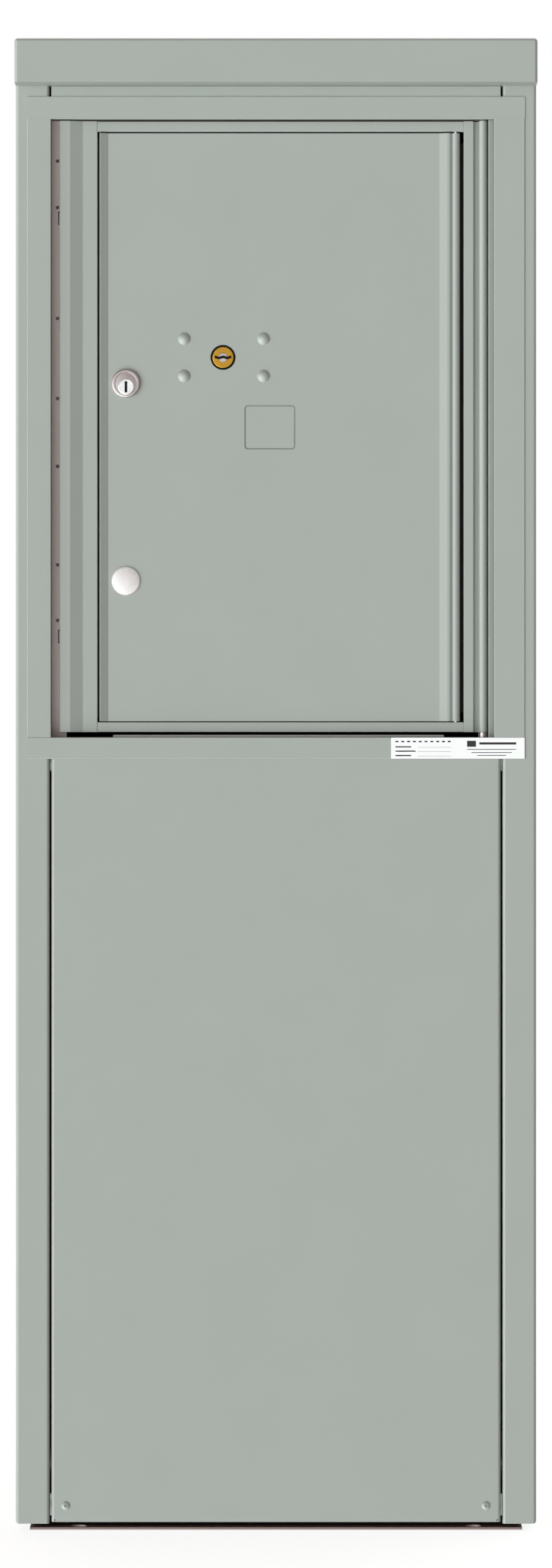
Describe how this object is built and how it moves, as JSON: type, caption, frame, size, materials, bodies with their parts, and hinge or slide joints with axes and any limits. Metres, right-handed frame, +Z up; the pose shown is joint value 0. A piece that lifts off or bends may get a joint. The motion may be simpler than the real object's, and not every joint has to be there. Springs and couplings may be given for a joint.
{
  "type": "cluster mailbox unit",
  "caption": "Free-standing grey sheet-metal depot cabinet with an overhanging cap, holding a framed parcel locker door with a cam lock, a carrier lock and a lower access panel.",
  "frame": {"origin": "on the floor under the middle of the whole cabinet", "axes": "+Z up, front faces -Y, +X to the right as seen from the front"},
  "size_m": [0.466, 0.476, 1.3316],
  "materials": {
    "powder_coat": "fine-textured satin powder coat, postal grey with a sage cast",
    "base_coat": "satin powder coat on the base plate, slightly warmer grey",
    "housing_coat": "satin powder coat on the inner housing",
    "coated_fastener": "powder coated over the fastener head",
    "zinc_steel": "bright zinc plated sheet steel",
    "stainless": "ground stainless steel",
    "satin_zinc": "satin zinc die casting",
    "bright_nickel": "bright nickel plate",
    "lock_brass": "machined brass, lightly brushed",
    "black_oxide": "black oxide on cast metal",
    "label_film": "white printed polyester film"
  },
  "bodies": {
    "cabinet": {"left_side_panel": "powder_coat", "right_side_panel": "powder_coat", "rear_panel": "powder_coat", "top_cap": "powder_coat", "header_panel": "powder_coat", "front_access_panel": "powder_coat", "base_tray": "base_coat", "cross_rail": "zinc_steel", "left_support_rail": "zinc_steel", "right_support_rail": "zinc_steel", "panel_brackets": "zinc_steel", "panel_screws": "coated_fastener", "rear_screws": "coated_fastener", "cap_screws": "zinc_steel", "base_screws": "zinc_steel", "trim_top": "powder_coat", "trim_bottom": "powder_coat", "trim_left": "powder_coat", "trim_right": "powder_coat", "data_label": "label_film", "housing_left_wall": "housing_coat", "housing_right_wall": "housing_coat", "housing_top": "housing_coat", "housing_floor": "housing_coat", "housing_back": "housing_coat", "left_jamb": "powder_coat", "right_jamb": "powder_coat", "hinge_leaf": "powder_coat", "jamb_rivets": "coated_fastener", "sill_stop": "powder_coat", "master_hinge_rod": "stainless", "hinge_bushings": "stainless"},
    "master_door": {"frame_left_stile": "powder_coat", "frame_right_stile": "powder_coat", "frame_top_rail": "powder_coat", "frame_bottom_rail": "powder_coat", "frame_screws": "zinc_steel", "parcel_hinge_rod": "stainless", "cam_strike": "zinc_steel", "latch_studs": "zinc_steel"},
    "master_latch": {"master_latch_bar": "zinc_steel", "latch_thumb_tab": "zinc_steel"},
    "parcel_door": {"parcel_door_panel": "powder_coat", "customer_lock_body": "satin_zinc", "customer_lock_nut": "zinc_steel", "blank_plug": "bright_nickel", "blank_plug_clip": "zinc_steel", "arrow_lock_plate": "zinc_steel", "arrow_lock_case": "black_oxide", "bolt_guide": "zinc_steel", "carriage_bolts": "coated_fastener", "carriage_nuts": "zinc_steel"},
    "customer_plug": {"customer_lock_plug": "bright_nickel", "customer_cam": "zinc_steel", "cam_screw": "zinc_steel"},
    "arrow_plug": {"arrow_lock_plug": "lock_brass", "arrow_lock_core": "stainless"},
    "arrow_bolt": {"arrow_bolt_bar": "zinc_steel"}
  },
  "joints": [
    {"name": "master_swing", "type": "hinge", "parent": "cabinet", "child": "master_door", "pos_m": [0.1856, -0.2022, 0.988], "axis": [0, 0, 1], "range_deg": [0, 95]},
    {"name": "parcel_swing", "type": "hinge", "parent": "master_door", "child": "parcel_door", "pos_m": [0.1613, -0.2001, 0.98745], "axis": [0, 0, 1], "range_deg": [0, 95]},
    {"name": "cam_turn", "type": "hinge", "parent": "parcel_door", "child": "customer_plug", "pos_m": [-0.1345, -0.2022, 1.02345], "axis": [0, 1, 0], "range_deg": [0, 90]},
    {"name": "arrow_turn", "type": "hinge", "parent": "parcel_door", "child": "arrow_plug", "pos_m": [-0.0475, -0.2022, 1.05015], "axis": [0, -1, 0], "range_deg": [0, 90.5]},
    {"name": "arrow_slide", "type": "slide", "parent": "parcel_door", "child": "arrow_bolt", "axis": [-1, 0, 0], "range_m": [0, 0.009]},
    {"name": "latch_slide", "type": "slide", "parent": "master_door", "child": "master_latch", "axis": [0, 0, 1], "range_m": [0, 0.012]}
  ],
  "couplings": [
    {"joint": "arrow_turn", "follows": "arrow_slide", "rad_per_m": 174.53}
  ]
}
